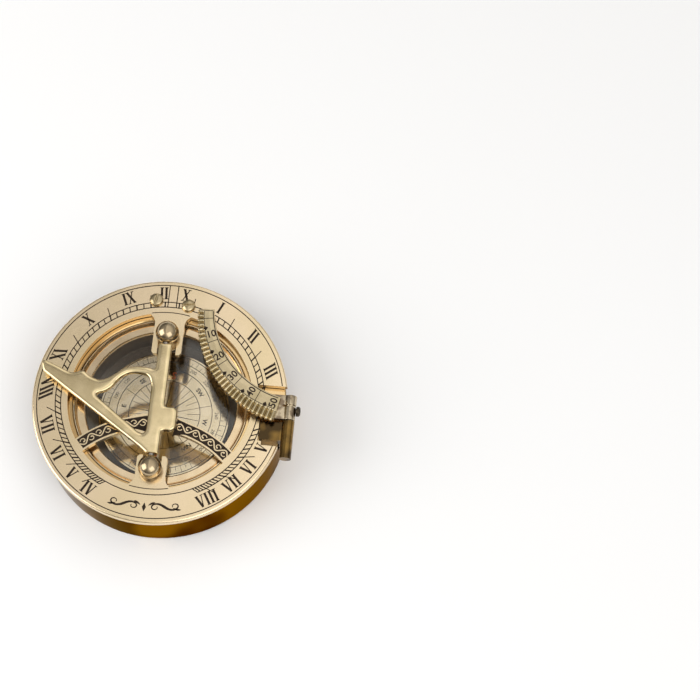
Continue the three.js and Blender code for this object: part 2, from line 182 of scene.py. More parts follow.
def metal(name, light, dark, rough, patch=0.18, bump=0.006, spread=(0.35, 0.65),
          inner=None, edge=None, tall=1.0):
    """Polished metal: two tones in soft patches, roughness that varies, fine grain and hairline scratches.

    patch: how fine the patches are. spread: where in the noise the dark tone ends and the light one begins.
    On the case and the bracket the patches are painted reflection and shade; on the other parts they are
    random tone.
    inner: a lighter pair of tones, painted light, for what lies within INNER_R or above LEDGE_Z.
    edge: the tint of its grazing reflections. tall: below 1, the patches are drawn out upwards, as the
    case's painted streaks of reflection.
    """
    mat, tree, out = new_material(name)
    shader = tree.nodes.new("ShaderNodeBsdfPrincipled")
    shader.inputs["Metallic"].default_value = 1
    where = object_coords(tree)
    cloud = noise(tree, object_coords(tree, (1, 1, tall)), patch, detail=2)
    tone = ramp(tree, cloud, [(spread[0], dark), (spread[1], light)])
    # the lit copy of the tones, painted light, within INNER_R or above LEDGE_Z; the shaded copy elsewhere
    if inner:
        tone = lit_inside_shaded_outside(tree, where, tone, ramp(tree, cloud, [(spread[0], inner[1]), (spread[1], inner[0])]))
    if edge:
        shader.inputs["Specular Tint"].default_value = (*edge, 1)
    tree.links.new(tone, shader.inputs["Base Color"])
    fine = noise(tree, where, 1.1, detail=3)
    to_rough = tree.nodes.new("ShaderNodeMapRange")
    to_rough.inputs["To Min"].default_value = rough * 0.82
    to_rough.inputs["To Max"].default_value = rough * 1.18
    tree.links.new(fine, to_rough.inputs["Value"])
    tree.links.new(to_rough.outputs["Result"], shader.inputs["Roughness"])
    hair = noise(tree, object_coords(tree, (0.25, 3.0, 3.0)), 2.2, detail=3)
    both = tree.nodes.new("ShaderNodeMath")
    both.operation = "ADD"
    tree.links.new(fine, both.inputs[0])
    tree.links.new(hair, both.inputs[1])
    relief = tree.nodes.new("ShaderNodeBump")
    relief.inputs["Strength"].default_value = bump
    relief.inputs["Distance"].default_value = 0.05 * MM
    tree.links.new(both.outputs["Value"], relief.inputs["Height"])
    tree.links.new(relief.outputs["Normal"], shader.inputs["Normal"])
    tree.links.new(shader.outputs["BSDF"], out.inputs["Surface"])
    return mat


def paint(name, light, dark, rough):
    """Matt paint, slightly uneven, with pinholes in its relief: the enamel fillings, and the liner, whose
    tone is partly painted shade.
    """
    mat, tree, out = new_material(name)
    shader = tree.nodes.new("ShaderNodeBsdfPrincipled")
    where = object_coords(tree)
    spots = noise(tree, where, 2.5)
    tree.links.new(ramp(tree, spots, [(0.35, dark), (0.7, light)]), shader.inputs["Base Color"])
    shader.inputs["Specular IOR Level"].default_value = 0.2
    to_rough = tree.nodes.new("ShaderNodeMapRange")
    to_rough.inputs["To Min"].default_value = rough * 0.8
    to_rough.inputs["To Max"].default_value = rough * 1.2
    tree.links.new(spots, to_rough.inputs["Value"])
    tree.links.new(to_rough.outputs["Result"], shader.inputs["Roughness"])
    relief = tree.nodes.new("ShaderNodeBump")
    relief.inputs["Strength"].default_value = 0.2
    relief.inputs["Distance"].default_value = 0.03 * MM
    tree.links.new(noise(tree, where, 6), relief.inputs["Height"])
    tree.links.new(relief.outputs["Normal"], shader.inputs["Normal"])
    tree.links.new(shader.outputs["BSDF"], out.inputs["Surface"])
    return mat


def window_glass(name):
    """Clear glass: see-through, with a reflection that grows at grazing angles and faint smears."""
    mat, tree, out = new_material(name)
    clear = tree.nodes.new("ShaderNodeBsdfTransparent")
    clear.inputs["Color"].default_value = (0.93, 0.94, 0.93, 1)
    shine = tree.nodes.new("ShaderNodeBsdfGlossy")
    to_rough = tree.nodes.new("ShaderNodeMapRange")
    to_rough.inputs["To Min"].default_value = 0.02
    to_rough.inputs["To Max"].default_value = 0.09
    tree.links.new(noise(tree, object_coords(tree), 0.4), to_rough.inputs["Value"])
    tree.links.new(to_rough.outputs["Result"], shine.inputs["Roughness"])
    fresnel = tree.nodes.new("ShaderNodeFresnel")
    fresnel.inputs["IOR"].default_value = 1.5
    mix = tree.nodes.new("ShaderNodeMixShader")
    tree.links.new(fresnel.outputs["Fac"], mix.inputs["Fac"])
    tree.links.new(clear.outputs["BSDF"], mix.inputs[1])
    tree.links.new(shine.outputs["BSDF"], mix.inputs[2])
    tree.links.new(mix.outputs["Shader"], out.inputs["Surface"])
    return mat


PLATE = metal("plate_brass", (0.90, 0.72, 0.48), (0.82, 0.66, 0.405), 0.24, patch=0.05, bump=0.003)
GNOMON = metal("gnomon_brass", (0.85, 0.69, 0.41), (0.71, 0.57, 0.32), 0.15, bump=0.03)
BALL = metal("ball_brass", (0.56, 0.45, 0.29), (0.44, 0.34, 0.21), 0.2)
BEZEL = metal("bezel_brass", (0.84, 0.67, 0.44), (0.76, 0.58, 0.36), 0.16)
# the case's tones are painted light: dark, upward-streaked patches are painted reflection and shade on its
# outer side; the lighter inner pair is the lit step below the plate and the ledge's top
CASE = metal("case_brass", (0.40, 0.225, 0.075), (0.12, 0.07, 0.03), 0.14, patch=0.045,
             spread=(0.42, 0.58), tall=0.5, edge=(0.42, 0.32, 0.2),
             inner=((0.76, 0.54, 0.27), (0.60, 0.40, 0.18)))
# the bracket's dark brown patches are painted reflection and shade on its polished brass
BRACKET = metal("bracket_brass_painted_reflections", (0.27, 0.16, 0.045), (0.07, 0.045, 0.02), 0.2, patch=0.14,
                spread=(0.42, 0.6))
KNUCKLE = metal("knuckle_brass", (0.58, 0.48, 0.33), (0.24, 0.18, 0.12), 0.22, patch=0.3,
                spread=(0.42, 0.56))
PEG = metal("peg_dark", (0.13, 0.10, 0.065), (0.05, 0.04, 0.03), 0.3)
SCREW = metal("plate_screw_brass", (0.62, 0.50, 0.31), (0.44, 0.35, 0.20), 0.25)
ARC_FACE = metal("arc_brass", (0.62, 0.51, 0.32), (0.50, 0.41, 0.24), 0.22)
CARD = metal("card_brass", (0.95, 0.77, 0.56), (0.86, 0.69, 0.47), 0.1, bump=0.003)
STEEL = metal("screw_steel", (0.42, 0.38, 0.33), (0.30, 0.27, 0.24), 0.28)
# the liner's dull brown-grey is partly its own tone and partly painted shade in the chamber under the glass
LINING_AND_SHADE = paint("liner_dark_and_painted_shade", (0.50, 0.40, 0.32), (0.37, 0.30, 0.24), 0.3)
FILL = paint("black_fill", (0.040, 0.024, 0.011), (0.016, 0.010, 0.006), 0.55)
RED = paint("red_fill", (0.75, 0.16, 0.05), (0.60, 0.10, 0.03), 0.5)
GLASS = window_glass("window_glass")


# ---------------------------------------------------------------- pieces
WELD = 1e-6              # metres
FLAT = math.radians(0.6)         # faces that bend less than this become one
HARD = math.radians(35)          # edges sharper than this are eased


def piece(name, bm, body, material, sharp=40, stands_for=()):
    """A finished mesh: outward normals, smooth with sharp edges kept, riding on a body."""
    bmesh.ops.recalc_face_normals(bm, faces=bm.faces)
    mesh = bpy.data.meshes.new(name)
    bm.to_mesh(mesh)
    bm.free()
    mesh.shade_smooth()
    mesh.set_sharp_from_angle(angle=math.radians(sharp))
    mesh.materials.append(material)
    obj = bpy.data.objects.new(name, mesh)
    bpy.context.scene.collection.objects.link(obj)
    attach(obj, body)
    if stands_for:
        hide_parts(*stands_for)
    return obj


def even_normals(obj):
    weighted = obj.modifiers.new("normals", "WEIGHTED_NORMAL")
    weighted.keep_sharp = True


def refined(node, name, body, material, bevels):
    """A copy of a CAD solid with its hard edges rounded.

    bevels: (width in mm, segments, test of an edge's middle in mm).
    """
    bm = bmesh.new()
    bm.from_mesh(NODES[node].data)
    bmesh.ops.remove_doubles(bm, verts=bm.verts, dist=WELD)
    bmesh.ops.dissolve_limit(bm, angle_limit=FLAT, verts=bm.verts, edges=bm.edges)
    for width, segments, wanted in bevels:
        hard = []
        for e in bm.edges:
            middle = (e.verts[0].co + e.verts[1].co) / (2 * MM)
            if len(e.link_faces) == 2 and e.calc_face_angle(0) > HARD and wanted(middle):
                hard.append(e)
        bmesh.ops.bevel(bm, geom=hard, offset=width * MM, offset_type="OFFSET", segments=segments,
                        profile=0.5, affect="EDGES", clamp_overlap=True)
    obj = piece(name, bm, body, material, stands_for=[node])
    even_normals(obj)
    return obj


def cast(node, name, body, material):
    """A copy of a CAD solid with the soft, worn edges of a casting."""
    rough = bpy.data.objects.new(name + "_rough", NODES[node].data.copy())
    bpy.context.scene.collection.objects.link(rough)
    weld = rough.modifiers.new("weld", "WELD")
    weld.merge_threshold = WELD
    grain = rough.modifiers.new("grain", "REMESH")
    grain.mode = "VOXEL"
    grain.voxel_size = CAST_GRAIN * MM
    soften = rough.modifiers.new("soften", "SMOOTH")
    soften.factor = 0.5
    soften.iterations = 70
    graph = bpy.context.evaluated_depsgraph_get()
    mesh = bpy.data.meshes.new_from_object(rough.evaluated_get(graph))
    bpy.data.objects.remove(rough)
    bm = bmesh.new()
    bm.from_mesh(mesh)
    bpy.data.meshes.remove(mesh)
    return piece(name, bm, body, material, sharp=180, stands_for=[node])


def polished(node, material, width, segments=2):
    """A CAD node kept as it is, with eased edges and a finish."""
    obj = NODES[node]
    weld = obj.modifiers.new("weld", "WELD")
    weld.merge_threshold = WELD
    flat = obj.modifiers.new("flat", "DECIMATE")
    flat.decimate_type = "DISSOLVE"
    flat.angle_limit = FLAT
    ease = obj.modifiers.new("ease", "BEVEL")
    ease.width = width * MM
    ease.segments = segments
    ease.limit_method = "ANGLE"
    ease.angle_limit = HARD
    obj.data.shade_smooth()
    obj.data.materials.clear()
    obj.data.materials.append(material)
    even_normals(obj)
    return obj


def lathe(bm, profile, centre=(0, 0, 0), segments=96):
    """A turned solid about a vertical line through centre, in mm.

    profile is [(radius, height)]. It starts and ends on the axis, or closes on itself.
    """
    rings = []
    for r, z in profile:
        if r == 0:
            rings.append([bm.verts.new((Vector(centre) + Vector((0, 0, z))) * MM)])
            continue
        turns = [TAU * k / segments for k in range(segments)]
        circle = [Vector((r * math.cos(a), r * math.sin(a), z)) for a in turns]
        rings.append([bm.verts.new((Vector(centre) + p) * MM) for p in circle])
    hollow = profile[0][0] > 0
    pairs = list(zip(rings, rings[1:])) + ([(rings[-1], rings[0])] if hollow else [])
    for a, b in pairs:
        for k in range(segments):
            j = (k + 1) % segments
            corners = [a[k % len(a)], a[j % len(a)], b[j % len(b)], b[k % len(b)]]
            bm.faces.new(list(dict.fromkeys(corners)))


def strip(bm, left, right, z0, z1, closed=False):
    """A flat closed bar between two lines of points in mm; z0 and z1 are its underside and top."""
    levels = []
    for line, z in ((left, z0), (right, z0), (left, z1), (right, z1)):
        levels.append([bm.verts.new(Vector((x, y, z)) * MM) for x, y in line])
    lo_l, lo_r, hi_l, hi_r = levels
    n = len(left)
    for i in range(n if closed else n - 1):
        j = (i + 1) % n
        bm.faces.new((hi_l[i], hi_l[j], hi_r[j], hi_r[i]))
        bm.faces.new((lo_l[j], lo_l[i], lo_r[i], lo_r[j]))
        bm.faces.new((lo_l[i], lo_l[j], hi_l[j], hi_l[i]))
        bm.faces.new((lo_r[j], lo_r[i], hi_r[i], hi_r[j]))
    if not closed:
        bm.faces.new((lo_r[0], lo_l[0], hi_l[0], hi_r[0]))
        bm.faces.new((lo_l[-1], lo_r[-1], hi_r[-1], hi_l[-1]))


def ribbon(bm, path, widths, z0, z1):
    """A strip that follows a path of points, with one width or a width for each point."""
    n = len(path)
    if not isinstance(widths, (list, tuple)):
        widths = [widths] * n
    left, right = [], []
    for i, (p, w) in enumerate(zip(path, widths)):
        a, b = Vector(path[max(i - 1, 0)]), Vector(path[min(i + 1, n - 1)])
        along = (b - a).normalized()
        side = Vector((-along.y, along.x)) * (w / 2)
        left.append(Vector(p) + side)
        right.append(Vector(p) - side)
    strip(bm, left, right, z0, z1)


def polar(r, angle, centre=(0, 0)):
    return Vector((centre[0] + r * math.cos(angle), centre[1] + r * math.sin(angle)))


def arc_band(bm, r, width, a0, a1, z0, z1, centre=(0, 0)):
    """Part of a circle as a band. Angles in radians; a full turn closes on itself."""
    full = abs(a1 - a0 - TAU) < 1e-6
    n = max(4, int(abs(a1 - a0) / TAU * 180))
    angles = [a0 + (a1 - a0) * i / n for i in range(n if full else n + 1)]
    outer = [polar(r + width / 2, a, centre) for a in angles]
    inner = [polar(r - width / 2, a, centre) for a in angles]
    strip(bm, outer, inner, z0, z1, closed=full)


def words(bm, text, size, at, turn, z0, z1, bold=0.0):
    """Generic digits or letters from the built-in font, centred on at, turned by an angle."""
    curve = bpy.data.curves.new("glyphs", "FONT")
    curve.body = text
    curve.size = size
    curve.align_x = "CENTER"
    curve.align_y = "CENTER"
    curve.extrude = (z1 - z0) / 2
    curve.resolution_u = 3
    curve.offset = bold
    obj = bpy.data.objects.new("glyphs", curve)
    bpy.context.scene.collection.objects.link(obj)
    graph = bpy.context.evaluated_depsgraph_get()
    mesh = bpy.data.meshes.new_from_object(obj.evaluated_get(graph))
    glyphs = bmesh.new()
    glyphs.from_mesh(mesh)
    bmesh.ops.remove_doubles(glyphs, verts=glyphs.verts, dist=1e-5)
    place = Matrix.Translation(Vector((at[0], at[1], (z0 + z1) / 2))) @ Matrix.Rotation(turn, 4, "Z")
    glyphs.transform(Matrix.Scale(MM, 4) @ place)
    glyphs.to_mesh(mesh)
    glyphs.free()
    bm.from_mesh(mesh)
    bpy.data.objects.remove(obj)
    bpy.data.meshes.remove(mesh)


# ---------------------------------------------------------------- hour plate engraving
def hour_ray(hours, r):
    """The point where the line of that hour from noon crosses a circle about the plate's centre, in mm."""
    a = hours * HOUR
    d = Vector((math.sin(a), math.cos(a)))
    b = d.y * FOOT_Y
    return Vector((0, FOOT_Y)) + d * (-b + math.sqrt(b * b - FOOT_Y * FOOT_Y + r * r))


def in_notch(p):
    """True for a point in the plate's east notch or too near its edge to be engraved."""
    return p.x > NOTCH["x"] - 0.8 and NOTCH["y0"] - 0.4 < p.y < NOTCH["y1"] + 0.4


def numeral_strokes(letter):
    """Strokes of I, V and X in a box of height 1 whose width is returned: ((x0, y0), (x1, y1), thick)."""
    thick, thin, serif = 0.185, 0.08, 0.06
    if letter == "I":
        return 0.36, [((0.18, 0), (0.18, 1), thick), ((0.03, 0.02), (0.33, 0.02), serif),
                      ((0.03, 0.98), (0.33, 0.98), serif)]
    if letter == "V":
        return 0.66, [((0.12, 1), (0.33, 0.02), thick), ((0.54, 1), (0.35, 0.02), thin),
                      ((0.0, 0.98), (0.26, 0.98), serif), ((0.42, 0.98), (0.66, 0.98), serif)]
    return 0.66, [((0.12, 1), (0.54, 0), thick), ((0.54, 1), (0.12, 0), thin),
                  ((0.0, 0.98), (0.26, 0.98), serif), ((0.42, 0.98), (0.66, 0.98), serif),
                  ((0.0, 0.02), (0.26, 0.02), serif), ((0.42, 0.02), (0.66, 0.02), serif)]


def numeral(bm, text, bearing, lean, z0, z1):
    """A Roman numeral that stands with its top towards the plate's centre."""
    centre = polar(NUMERAL_R, math.radians(bearing))
    up = -centre.normalized()
    along = Vector((up.y, -up.x))
    pitch = [numeral_strokes(c)[0] for c in text]
    x = -sum(pitch) / 2
    for c, width in zip(text, pitch):
        for (x0, y0), (x1, y1), w in numeral_strokes(c)[1]:
            ends = [centre + (along * (x + px + lean * (py - 0.5)) + up * (py - 0.5)) * NUMERAL_H
                    for px, py in ((x0, y0), (x1, y1))]
            ribbon(bm, ends, w * NUMERAL_H, z0, z1)
        x += width


def plate_engraving():
    """Circles, ladder of minutes, half-hour ticks and hour numerals."""
    bm = bmesh.new()
    z0, z1 = PLATE_TOP - SUNK, PLATE_TOP + PROUD
    low = math.atan2(NOTCH["y0"] - 0.3, NOTCH["x"] + 4.6)
    high = math.atan2(NOTCH["y1"] + 0.3, NOTCH["x"] + 5.2)
    arc_band(bm, RIM_LINE, LINE, high, low + TAU, z0, z1)
    arc_band(bm, TRACK_IN, LINE, 0, TAU, z0, z1)
    ends = [hour_ray(h, TRACK_OUT) for h in (-8, 8)]
    west, east = (math.atan2(p.y, p.x) % TAU for p in ends)
    arc_band(bm, TRACK_OUT, LINE, east - TAU, west, z0, z1)
    for k in range(-48, 49):
        inner, outer = hour_ray(k / 6, TRACK_IN), hour_ray(k / 6, TRACK_OUT)
        if not in_notch(outer) and k:
            ribbon(bm, [inner, outer], 0.42 if k % 2 else 0.32, z0, z1)
        if k % 6 == 3:
            end = hour_ray(k / 6, TRACK_OUT + HALF_HOUR_TICK)
            if not in_notch(end):
                ribbon(bm, [outer, end], 0.27, z0, z1)
    for side in (-1, 1):
        x = side * NOON_GAP
        line = [Vector((x, math.sqrt(r * r - x * x))) for r in (TRACK_IN, RIM_LINE)]
        ribbon(bm, line, LINE, z0, z1)
    for tongue in (90, 270):
        start, end = math.radians(tongue - 12), math.radians(tongue + 12)
        arc_band(bm, RING_IN + 0.25, 0.26, start, end, z0, z1)
    for text, bearing, lean in NUMERALS:
        numeral(bm, text, bearing, lean, z0, z1)
    return piece("hour_plate_engraving", bm, "plate", FILL)


def double_scroll(steps=70, reach=3.5):
    """Half of a double-ended scroll, from its middle to one eye: its bend grows evenly along its length."""
    x = y = 0.0
    points = [(0.0, 0.0)]
    for i in range(steps):
        along = reach * (i + 0.5) / steps
        x += math.cos(along * along / 2 - math.pi / 4) * reach / steps
        y += math.sin(along * along / 2 - math.pi / 4) * reach / steps
        points.append((x, y))
    return points


def flourish():
    """A letterless pen flourish on the plate's blank southern arc: two facing scrolls about a lozenge."""
    bm = bmesh.new()
    z0, z1 = PLATE_TOP - SUNK, PLATE_TOP + PROUD
    middle, lane = math.radians(FLOURISH["bearing"]), FLOURISH["r"]

    def lay(u, v):
        return polar(lane - v, middle + u / lane)

    half = double_scroll()
    for side in (-1, 1):
        path = [(-x, -y) for x, y in reversed(half)] + half[1:]
        spots = [lay(side * (6.1 + 2.3 * x), 1.75 * y) for x, y in path]
        last = len(path) - 1
        widths = [0.24 + 0.56 * (1 - abs(2 * i / last - 1)) ** 1.3 for i in range(last + 1)]
        ribbon(bm, spots, widths, z0, z1)
        for start, end in ((1.2, 3.3), (8.4, 10.6)):
            rise = 1 if start < 5 else -1
            leaf, widths = [], []
            for i in range(13):
                t = i / 12
                height = 0.55 + 0.9 * math.sin(math.pi / 2 * t)
                leaf.append(lay(side * (start + (end - start) * t), rise * height))
                widths.append(0.1 + 0.5 * math.sin(math.pi * i / 12))
            ribbon(bm, leaf, widths, z0, z1)
    ribbon(bm, [lay(0, v) for v in (-1.3, 0, 1.3)], [0.1, 1.2, 0.1], z0, z1)
    return piece("plate_flourish", bm, "plate", FILL)


def arm_scrolls():
    """Black ground with a running vine in brass, and a curl in each of its bends, on both curved arms."""
    ground, vine = bmesh.new(), bmesh.new()
    centre = (0, ARM["y"])
    r_mid = (ARM["r0"] + ARM["r1"]) / 2
    top = PLATE_TOP + PROUD
    low, high = top - 0.05, top + 0.08
    swing = 0.95
    border = 0.48            # bare brass along each side of the arm
    flare_reach = 0.22       # share of the arm over which the ground spreads at its wide end
    for span in ARM_SPANS:
        a0, a1 = math.radians(span[0]), math.radians(span[1])
        n = 36
        left, right = [], []
        for i in range(n + 1):
            t = i / n
            a = a0 + (a1 - a0) * t
            flare = 1.45 * max(0.0, 1 - t / flare_reach) ** 1.4
            left.append(polar(ARM["r1"] - border + flare * 0.35, a, centre))
            right.append(polar(ARM["r0"] + border - flare, a, centre))
        strip(ground, left, right, PLATE_TOP - SUNK, top)
        length = abs(a1 - a0) * r_mid
        bends = max(5, round(length / 2.5))

        def lay(along, across):
            return polar(r_mid + across, a0 + (a1 - a0) * along / length, centre)

        pitch = length / bends
        stem = []
        for i in range(bends * 14 + 1):
            share = i / 14
            stem.append(lay(share * pitch, swing * math.sin(math.pi * share)))
        ribbon(vine, stem, 0.36, low, high)
        for k in range(bends):
            side = 1 if k % 2 == 0 else -1
            curl, widths = [], []
            for i in range(17):
                t = i / 16
                turn = -0.25 - 1.55 * math.pi * t
                r = 0.95 - 0.62 * t
                along = (k + 0.5) * pitch + r * math.cos(turn)
                curl.append(lay(along, side * (-0.22 + r * math.sin(turn) * 0.9)))
                widths.append(0.24 + 0.28 * t ** 3)
            ribbon(vine, curl, widths, low, high - 0.02)
    piece("arm_black_ground", ground, "plate", FILL)
    return piece("arm_vine", vine, "plate", PLATE)


# ---------------------------------------------------------------- latitude arc
def arc_place(s, t):
    """A point of the arc in plan: s runs from tip to root, t from the convex edge to the concave one."""
    ends = []
    for c in (ARC_CONVEX, ARC_CONCAVE):
        ends.append(polar(c["r"], math.radians(c["tip"] + (c["root"] - c["tip"]) * s), (c["x"], c["y"])))
    return ends[0].lerp(ends[1], t)


def tooth_root(s):
    """How far across the arc its teeth reach; they grow longer towards the root."""
    return 0.35 + 0.10 * s


def latitude_arc():
    """The flat arc with its row of rounded teeth along the convex edge."""
    bm = bmesh.new()
    top, low = ARC["z"] + ARC["t"], ARC["z"]
    # across the width: share of the tooth zone or of the face, drop of the rounded edge
    tooth_part = ((0.0, 0.55), (0.03, 0.26), (0.1, 0.08), (0.22, 0.0),
                  (0.45, 0.0), (0.7, 0.0), (0.88, 0.0), (0.96, 0.0))
    face_part = ((0.0, 0.0), (0.04, 0.0), (0.5, 0.0), (0.94, 0.0), (0.985, 0.07), (1.0, 0.28))
    steps = TEETH * 10
    upper, lower = [], []
    for i in range(steps + 1):
        s = i / steps
        root = tooth_root(s)
        groove = (0.5 + 0.5 * math.cos(TAU * TEETH * s)) ** 1.6
        across = [(share * root, drop, share) for share, drop in tooth_part]
        across += [(root + share * (1 - root), drop, None) for share, drop in face_part]
        column_up, column_lo = [], []
        for t, drop, tooth in across:
            cut = 0.0 if tooth is None else min(1.0, (1 - tooth) / 0.12)
            notch = 0.05 * groove * (1 - t / 0.1) if t < 0.1 else 0.0
            x, y = arc_place(s, t + notch)
            height = top - drop - TOOTH_DEPTH * groove * cut
            column_up.append(bm.verts.new(Vector((x, y, height)) * MM))
            column_lo.append(bm.verts.new(Vector((x, y, low)) * MM))
        upper.append(column_up)
        lower.append(column_lo)
    last = len(upper[0]) - 1
    for i in range(steps):
        for k in range(last):
            bm.faces.new((upper[i][k], upper[i + 1][k], upper[i + 1][k + 1], upper[i][k + 1]))
            bm.faces.new((lower[i][k], lower[i][k + 1], lower[i + 1][k + 1], lower[i + 1][k]))
        for k in (0, last):
            bm.faces.new((upper[i][k], lower[i][k], lower[i + 1][k], upper[i + 1][k]))
    for i in (0, steps):
        for k in range(last):
            bm.faces.new((upper[i][k], upper[i][k + 1], lower[i][k + 1], lower[i][k]))
    return piece("latitude_arc_toothed", bm, "arc", ARC_FACE, sharp=50,
                 stands_for=["latitude_arc"])


def arc_marks():
    """Border lines, divisions, latitude numbers and the diamond beside each, and a dark strip of painted
    shade in the floor of each groove between the teeth.
    """
    bm = bmesh.new()
    top = ARC["z"] + ARC["t"]
    z0, z1 = top - SUNK, top + PROUD
    # the dark strips laid in the groove floors are painted shade between the teeth
    gap_floor = top - TOOTH_DEPTH
    for k in range(1, TEETH):
        s = k / TEETH
        groove_shade = [arc_place(s, 0.1), arc_place(s, tooth_root(s) * 0.86)]
        ribbon(bm, groove_shade, 0.26, gap_floor - SUNK, gap_floor + 0.06)
    fine = [i / 60 for i in range(1, 60)]
    ribbon(bm, [arc_place(s, INNER_BORDER) for s in fine], 0.26, z0, z1)
    ribbon(bm, [arc_place(s, tooth_root(s) + 0.03) for s in fine], 0.2, z0, z1)
    for s in (0.012, 0.075):
        ribbon(bm, [arc_place(s, tooth_root(s) + 0.03), arc_place(s, INNER_BORDER)], 0.2, z0, z1)
    for k in range(5):
        s = 0.205 + 0.189 * k
        inward = (arc_place(s, 1) - arc_place(s, 0)).normalized()
        turn = math.atan2(inward.y, inward.x)
        words(bm, str(10 * (k + 1)), 3.0, arc_place(s, 0.68), turn, z0, z1, bold=0.07)
        diamond = arc_place(s - 0.055, tooth_root(s) + 0.07)
        tips = [diamond - inward * 0.75, diamond, diamond + inward * 0.75]
        ribbon(bm, tips, [0.05, 1.3, 0.05], z0, z1)
        line = s + 0.058
        if line < 1:
            start = tooth_root(line) + 0.01
            tick = line - 0.105
            ribbon(bm, [arc_place(line, INNER_BORDER), arc_place(line, start)], 0.2, z0, z1)
            ribbon(bm, [arc_place(tick, start + 0.09), arc_place(tick, start)], 0.2, z0, z1)
    return piece("arc_numbers", bm, "arc", FILL)


# ---------------------------------------------------------------- ball posts
def ball_post(which):
    """A polished ball on a short stem, with its foot under the plate."""
    bm = bmesh.new()
    foot_top = PLATE_TOP - PLATE_T - 0.03
    foot_low = foot_top - 0.82
    foot_r, chamfer = 3.9, 0.1
    stem = 2.55
    low = -math.acos(stem / BALL_R)
    profile = [(0, foot_low), (foot_r - chamfer, foot_low), (foot_r, foot_low + chamfer),
               (foot_r, foot_top), (stem, foot_top), (stem, BALL_Z + BALL_R * math.sin(low))]
    rings = 28
    for i in range(1, rings):
        a = low + (math.pi / 2 - low) * i / rings
        profile.append((BALL_R * math.cos(a), BALL_Z + BALL_R * math.sin(a)))
    profile.append((0, BALL_Z + BALL_R))
    lathe(bm, profile, (0, BALLS[which], 0), 64)
    return piece(which + "_ball_polished", bm, "plate", BALL, sharp=35,
                 stands_for=[which + "_ball_post"])


# ---------------------------------------------------------------- inside the case
def dark_liner():
    """Dish that lines the chamber below the glass; its dull brown-grey is partly its own dark tone, partly
    painted shade for the shaded chamber.
    """
    bm = bmesh.new()
    hub, wall, low, brim = LINER["hub"], LINER["wall"], LINER["floor"], LINER["brim"]
    inner, top, corner = wall - 0.16, low + 0.18, 0.4
    lathe(bm, [(hub, low), (wall, low), (wall, brim), (inner, brim),
               (inner, top + corner), (inner - corner, top), (hub, top)])
    return piece("chamber_liner", bm, "base", LINING_AND_SHADE)


def card_marks():
    """Compass rose printed on the card: rings, rays, degree ladder, numbers and letters."""
    bm, red = bmesh.new(), bmesh.new()
    z0, z1 = CARD_TOP - CARD_SUNK, CARD_TOP + CARD_PROUD
    for ring, w in (("rays", 0.2), ("letters", 0.2), ("numbers", 0.16), ("edge", 0.2), ("hub", 0.15)):
        arc_band(bm, ROSE[ring], w, 0, TAU, z0, z1)
    for k in range(32):
        a = CARD_TURN + TAU * k / 32
        inner = ROSE["hub"] if k % 2 == 0 else 7.0
        widths = [0.3 if k % 4 == 0 else 0.14, 0.12]
        ribbon(bm, [polar(inner, a), polar(ROSE["rays"], a)], widths, z0, z1)
    for k in range(1, 16, 2):
        a = CARD_TURN + TAU * k / 16
        ribbon(bm, [polar(ROSE["rays"], a), polar(ROSE["letters"], a)], 0.13, z0, z1)
    for k in range(72):
        a = CARD_TURN + TAU * k / 72
        end = ROSE["edge"] - 1 if k % 2 else ROSE["edge"]
        ribbon(bm, [polar(ROSE["numbers"], a), polar(end, a)], 0.12, z0, z1)
    south = math.pi / 2 + CARD_TURN
    for k, name in enumerate(("S", "SW", "W", "NW", "N", "NE", "E", "SE")):
        a = south - math.pi / 4 * k
        ink, size = (red, 3.0) if name in ("N", "S") else (bm, 1.9)
        words(ink, name, size, polar(12.6, a), a - math.pi / 2, z0, z1, bold=0.05)
    for k in range(18):
        a = south - TAU * k / 18
        words(bm, str((180 + 20 * k) % 360), 1.5, polar(15.9, a), a - math.pi / 2, z0, z1)
    piece("card_rose", bm, "card", FILL)
    return piece("card_cardinals", red, "card", RED)


# ---------------------------------------------------------------- finish of the CAD solids
# node, finish, width of its eased edges
FINISHES = (
    ("case_body", CASE, 0.3),
    ("bezel_ring", BEZEL, 0.12),
    ("pivot_post", STEEL, 0.05),
    ("rim_hinge_leaf", BEZEL, 0.1),
    ("rim_hinge_screw_west", STEEL, 0.05),
    ("rim_hinge_screw_east", STEEL, 0.05),
    ("plate_hinge_pin", STEEL, 0.05),
    ("arc_bracket", BRACKET, 0.2),
    ("bracket_screw_south", STEEL, 0.08),
    ("bracket_screw_north", STEEL, 0.08),
    ("arc_hinge_pin", STEEL, 0.08),
    ("compass_card", CARD, 0.1),
    ("card_cap", PLATE, 0.1),
    ("magnet_bar_west", STEEL, 0.15),
    ("magnet_bar_east", STEEL, 0.15),
    ("plate_hinge_leaf", PLATE, 0.1),
    ("plate_screw_east", SCREW, 0.08),
    ("plate_screw_west", SCREW, 0.08),
    ("gnomon_pivot_north", STEEL, 0.05),
    ("gnomon_pivot_south", STEEL, 0.05),
    ("arc_knuckle", KNUCKLE, 0.12),
    ("arc_stop_peg", PEG, 0.1),
    ("glass_window", GLASS, 0.15),
)


def on_rim(p):
    """True for a point of the hour plate's upper outer edge."""
    return p.xy.length > RING_OUT - 0.5 and p.z > PLATE_TOP - 1


def off_rim(p):
    return not on_rim(p)


def finish_frame():
    """The plate with its rounded rim, the cast gnomon, and every CAD solid that stays."""
    refined("chapter_ring", "chapter_ring_polished", "plate", PLATE,
            [(0.7, 5, on_rim), (0.22, 2, off_rim)])
    cast("gnomon_frame", "gnomon_cast", "gnomon", GNOMON)
    for node, material, width in FINISHES:
        polished(node, material, width)


